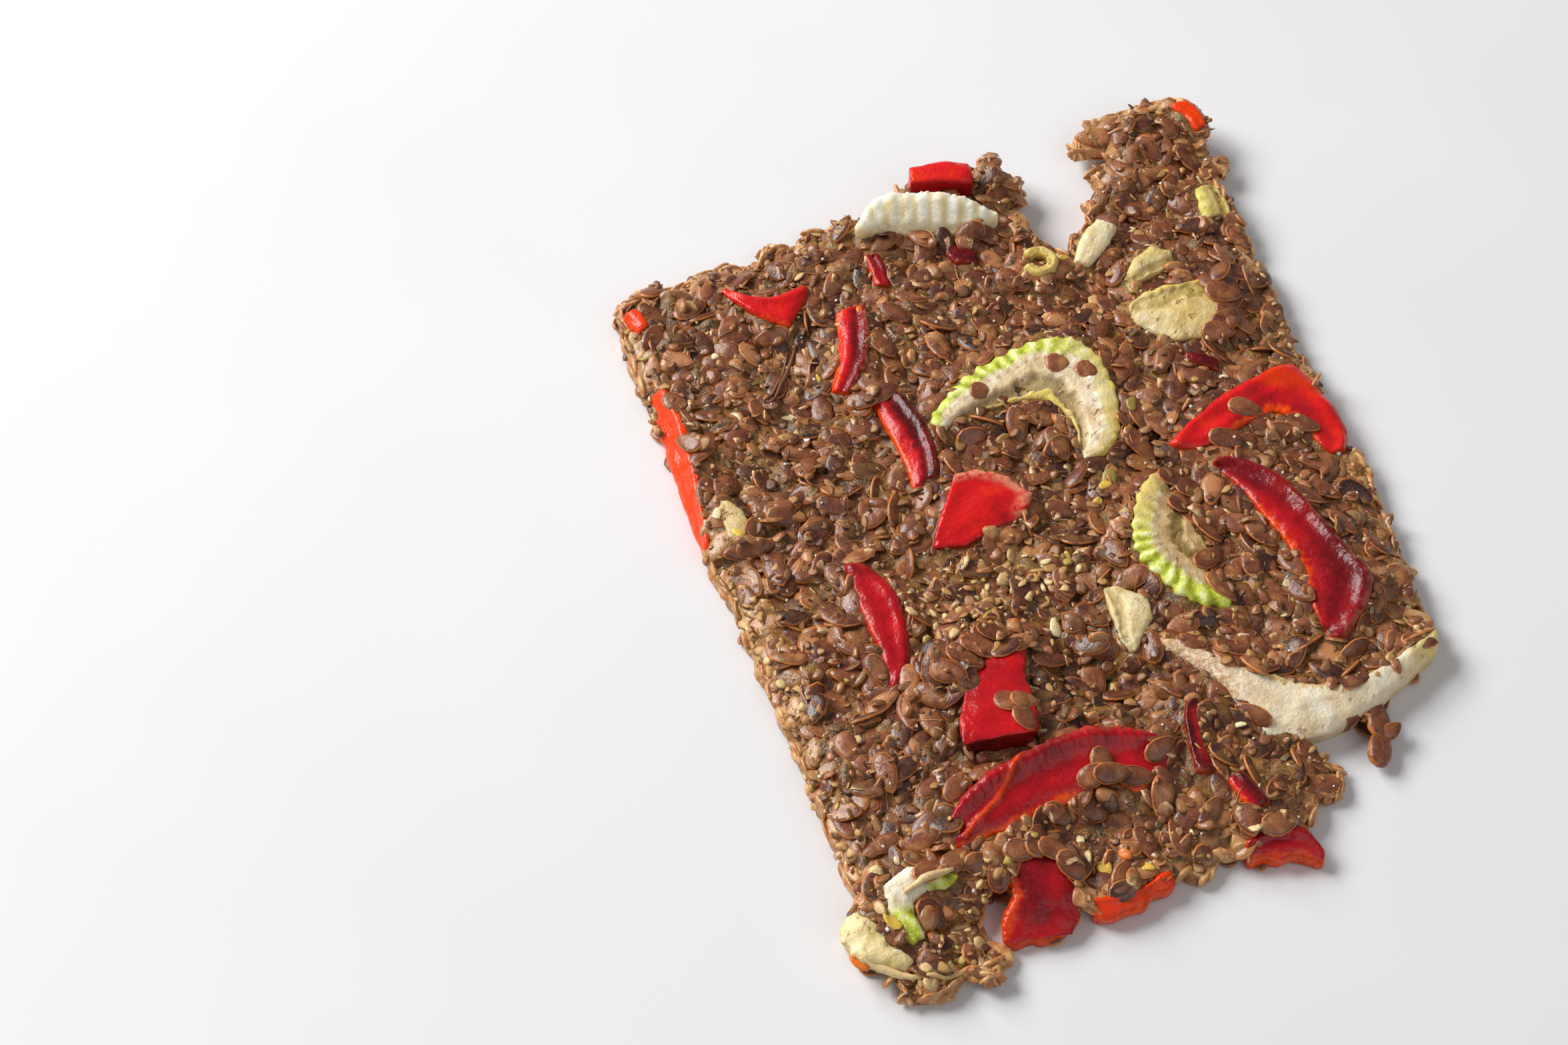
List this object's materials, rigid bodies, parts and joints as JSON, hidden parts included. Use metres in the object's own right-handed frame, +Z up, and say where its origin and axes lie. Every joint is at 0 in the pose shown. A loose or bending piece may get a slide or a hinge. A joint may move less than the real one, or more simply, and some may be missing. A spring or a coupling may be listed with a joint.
{
  "type": "seed cracker",
  "caption": "Thin dried cracker of flax seeds in herb paste, set with pieces of red pepper and celery, knife-cut at the sides and broken at the ends.",
  "frame": {"origin": "centre of the bounding box's underside, on the surface that the cracker lies on", "axes": "+Z up through the thickness, +Y along the knife-cut sides towards the narrow prong at the back, +X towards the side with the prong"},
  "size_m": [0.0852, 0.114, 0.0084],
  "materials": {
    "seed_paste": "rough dried seeds with a soft sheen",
    "red_pepper": "glossy wrinkled skin",
    "celery": "satin dried flesh with a green ribbed skin"
  },
  "bodies": {
    "root": {"cracker_slab": "seed_paste", "pepper_left_edge": "red_pepper", "pepper_back_left_corner": "red_pepper", "pepper_back_left_patch": "red_pepper", "pepper_back_strip": "red_pepper", "pepper_centre_strip": "red_pepper", "pepper_red_block": "red_pepper", "pepper_left_strip": "red_pepper", "pepper_raised_block": "red_pepper", "pepper_front_long_strip": "red_pepper", "pepper_dark_sliver": "red_pepper", "pepper_front_sliver": "red_pepper", "pepper_front_tip": "red_pepper", "pepper_front_edge": "red_pepper", "pepper_front_hanging": "red_pepper", "pepper_right_band": "red_pepper", "pepper_right_long_strip": "red_pepper", "pepper_right_sliver": "red_pepper", "pepper_back_block": "red_pepper", "pepper_prong_tip": "red_pepper", "pepper_back_sliver": "red_pepper", "pepper_back_shadow_piece": "red_pepper", "celery_centre_crescent": "celery", "celery_right_crescent": "celery", "celery_front_crescent": "celery", "celery_olive_piece": "celery", "celery_back_crescent": "celery", "celery_white_slice": "celery", "celery_back_right_chip": "celery", "celery_prong_root_chip": "celery", "celery_prong_edge_chip": "celery", "celery_front_green_curl": "celery", "celery_front_yellow_chip": "celery", "celery_left_pale_chip": "celery", "celery_back_curl": "celery"}
  },
  "joints": []
}
